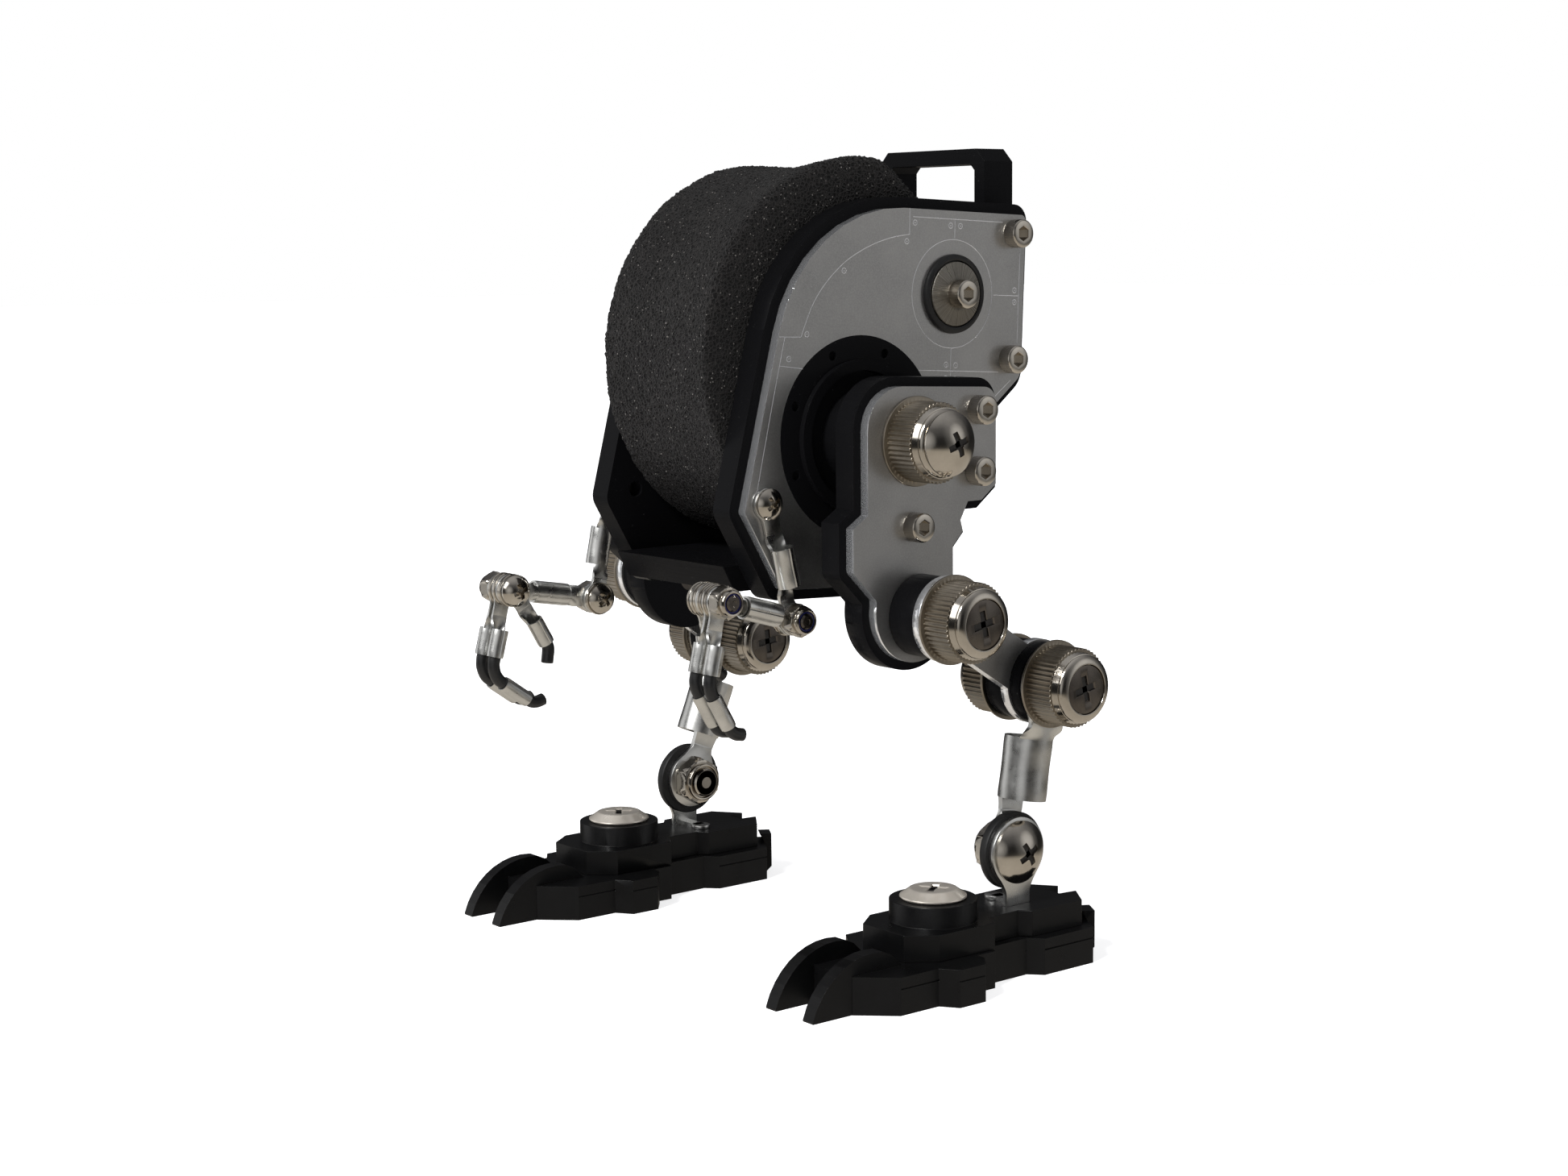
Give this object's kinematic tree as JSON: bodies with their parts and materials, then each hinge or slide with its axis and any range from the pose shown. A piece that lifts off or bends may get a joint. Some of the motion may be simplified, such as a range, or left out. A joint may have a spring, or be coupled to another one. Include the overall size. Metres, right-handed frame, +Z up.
{
  "type": "desk-top walking robot kit",
  "caption": "Two-legged walking robot kit with a foam roll body between laminated plates, screw-jointed legs on clawed feet and terminal-and-wire arms.",
  "frame": {"origin": "on the ground under the middle of the whole robot, between the two feet", "axes": "+Z up, the robot faces -Y, +X is the robot's left side"},
  "size_m": [0.124, 0.0992, 0.1545],
  "materials": {
    "black_acrylic": "glossy laser-cut sheet",
    "silver_acrylic": "satin silver face with bright cut edges",
    "foam": "open-cell foam",
    "nickel": "warm nickel plating",
    "dark_steel": "dark plated",
    "tinned_steel": "bright tinned",
    "foot_plastic": "satin black",
    "rubber": "matte",
    "wire_sleeve": "smooth insulation"
  },
  "bodies": {
    "torso": {"side_plate_left": "black_acrylic", "side_plate_right": "black_acrylic", "side_cover_left": "silver_acrylic", "side_cover_right": "silver_acrylic", "hub_discs": "black_acrylic", "foam_roll": "foam", "handle": "black_acrylic", "floor_panel": "black_acrylic", "cross_spacers": "nickel", "eye_grommets": "rubber", "body_fasteners": "nickel", "shoulder_screws": "nickel"},
    "thigh_left": {"thigh_plate_left": "black_acrylic", "thigh_cover_left": "silver_acrylic", "thigh_fasteners_left": "nickel", "hip_knob_left": "nickel"},
    "link_left": {"link_plate_left": "silver_acrylic", "link_knobs_left": "nickel", "link_screws_left": "dark_steel", "link_spacers_left": "black_acrylic"},
    "shin_left": {"shin_terminals_left": "tinned_steel"},
    "foot_left": {"foot_sole_left": "foot_plastic", "foot_block_left": "foot_plastic", "foot_screw_left": "nickel", "foot_terminal_left": "tinned_steel", "ankle_bolt_left": "nickel", "ankle_disc_left": "rubber"},
    "upper_arm_left": {"upper_arm_left": "tinned_steel"},
    "forearm_left": {"forearm_left": "tinned_steel", "arm_bolts_left": "nickel"},
    "finger_1_left": {"finger_1_left": "tinned_steel", "finger_1_wire_left": "wire_sleeve"},
    "finger_2_left": {"finger_2_left": "tinned_steel", "finger_2_wire_left": "wire_sleeve"},
    "thumb_left": {"thumb_left": "tinned_steel", "thumb_wire_left": "wire_sleeve"},
    "thigh_right": {"thigh_plate_right": "black_acrylic", "thigh_cover_right": "silver_acrylic", "thigh_fasteners_right": "nickel", "hip_knob_right": "nickel"},
    "link_right": {"link_plate_right": "silver_acrylic", "link_knobs_right": "nickel", "link_screws_right": "dark_steel", "link_spacers_right": "black_acrylic"},
    "shin_right": {"shin_terminals_right": "tinned_steel"},
    "foot_right": {"foot_sole_right": "foot_plastic", "foot_block_right": "foot_plastic", "foot_screw_right": "nickel", "foot_terminal_right": "tinned_steel", "ankle_bolt_right": "nickel", "ankle_disc_right": "rubber"},
    "upper_arm_right": {"upper_arm_right": "tinned_steel"},
    "forearm_right": {"forearm_right": "tinned_steel", "arm_bolts_right": "nickel"},
    "finger_1_right": {"finger_1_right": "tinned_steel", "finger_1_wire_right": "wire_sleeve"},
    "finger_2_right": {"finger_2_right": "tinned_steel", "finger_2_wire_right": "wire_sleeve"},
    "thumb_right": {"thumb_right": "tinned_steel", "thumb_wire_right": "wire_sleeve"}
  },
  "joints": [
    {"name": "hip_left", "type": "hinge", "parent": "torso", "child": "thigh_left", "pos_m": [0.0365, 0.0024, 0.1001], "axis": [1, 0, 0], "range_deg": [-50, 50]},
    {"name": "knee_left", "type": "hinge", "parent": "thigh_left", "child": "link_left", "pos_m": [0.0435, 0.0031, 0.068], "axis": [1, 0, 0], "range_deg": [-57, 54]},
    {"name": "hock_left", "type": "hinge", "parent": "link_left", "child": "shin_left", "pos_m": [0.0522, 0.025, 0.0542], "axis": [1, 0, 0], "range_deg": [-42, 57]},
    {"name": "ankle_left", "type": "hinge", "parent": "shin_left", "child": "foot_left", "pos_m": [0.04545, 0.0199, 0.0222], "axis": [1, 0, 0], "range_deg": [-25, 25]},
    {"name": "shoulder_left", "type": "hinge", "parent": "torso", "child": "upper_arm_left", "pos_m": [0.02445, -0.0202, 0.089], "axis": [1, 0, 0], "range_deg": [-110, 1]},
    {"name": "elbow_left", "type": "hinge", "parent": "upper_arm_left", "child": "forearm_left", "pos_m": [0.02535, -0.01511, 0.06729], "axis": [-1, 0, 0], "range_deg": [-75, 25]},
    {"name": "finger_1_wrist_left", "type": "hinge", "parent": "forearm_left", "child": "finger_1_left", "pos_m": [0.02695, -0.03435, 0.07273], "axis": [1, 0, 0], "range_deg": [-45, 20]},
    {"name": "finger_2_wrist_left", "type": "hinge", "parent": "forearm_left", "child": "finger_2_left", "pos_m": [0.02845, -0.03435, 0.07273], "axis": [1, 0, 0], "range_deg": [-45, 20]},
    {"name": "thumb_wrist_left", "type": "hinge", "parent": "forearm_left", "child": "thumb_left", "pos_m": [0.02335, -0.03435, 0.07273], "axis": [1, 0, 0], "range_deg": [-20, 30]},
    {"name": "hip_right", "type": "hinge", "parent": "torso", "child": "thigh_right", "pos_m": [-0.0365, 0.0024, 0.1001], "axis": [1, 0, 0], "range_deg": [-50, 50]},
    {"name": "knee_right", "type": "hinge", "parent": "thigh_right", "child": "link_right", "pos_m": [-0.0435, 0.005, 0.0681], "axis": [1, 0, 0], "range_deg": [-52, 62]},
    {"name": "hock_right", "type": "hinge", "parent": "link_right", "child": "shin_right", "pos_m": [-0.0522, 0.02548, 0.05226], "axis": [1, 0, 0], "range_deg": [-38, 57]},
    {"name": "ankle_right", "type": "hinge", "parent": "shin_right", "child": "foot_right", "pos_m": [-0.04545, 0.01338, 0.0222], "axis": [1, 0, 0], "range_deg": [-25, 25]},
    {"name": "shoulder_right", "type": "hinge", "parent": "torso", "child": "upper_arm_right", "pos_m": [-0.02445, -0.0202, 0.089], "axis": [1, 0, 0], "range_deg": [-90, 25]},
    {"name": "elbow_right", "type": "hinge", "parent": "upper_arm_right", "child": "forearm_right", "pos_m": [-0.02535, -0.02487, 0.0672], "axis": [-1, 0, 0], "range_deg": [-80, 55]},
    {"name": "finger_1_wrist_right", "type": "hinge", "parent": "forearm_right", "child": "finger_1_right", "pos_m": [-0.02695, -0.04459, 0.07053], "axis": [1, 0, 0], "range_deg": [-45, 20]},
    {"name": "finger_2_wrist_right", "type": "hinge", "parent": "forearm_right", "child": "finger_2_right", "pos_m": [-0.02845, -0.04459, 0.07053], "axis": [1, 0, 0], "range_deg": [-45, 20]},
    {"name": "thumb_wrist_right", "type": "hinge", "parent": "forearm_right", "child": "thumb_right", "pos_m": [-0.02335, -0.04459, 0.07053], "axis": [1, 0, 0], "range_deg": [-20, 30]}
  ]
}
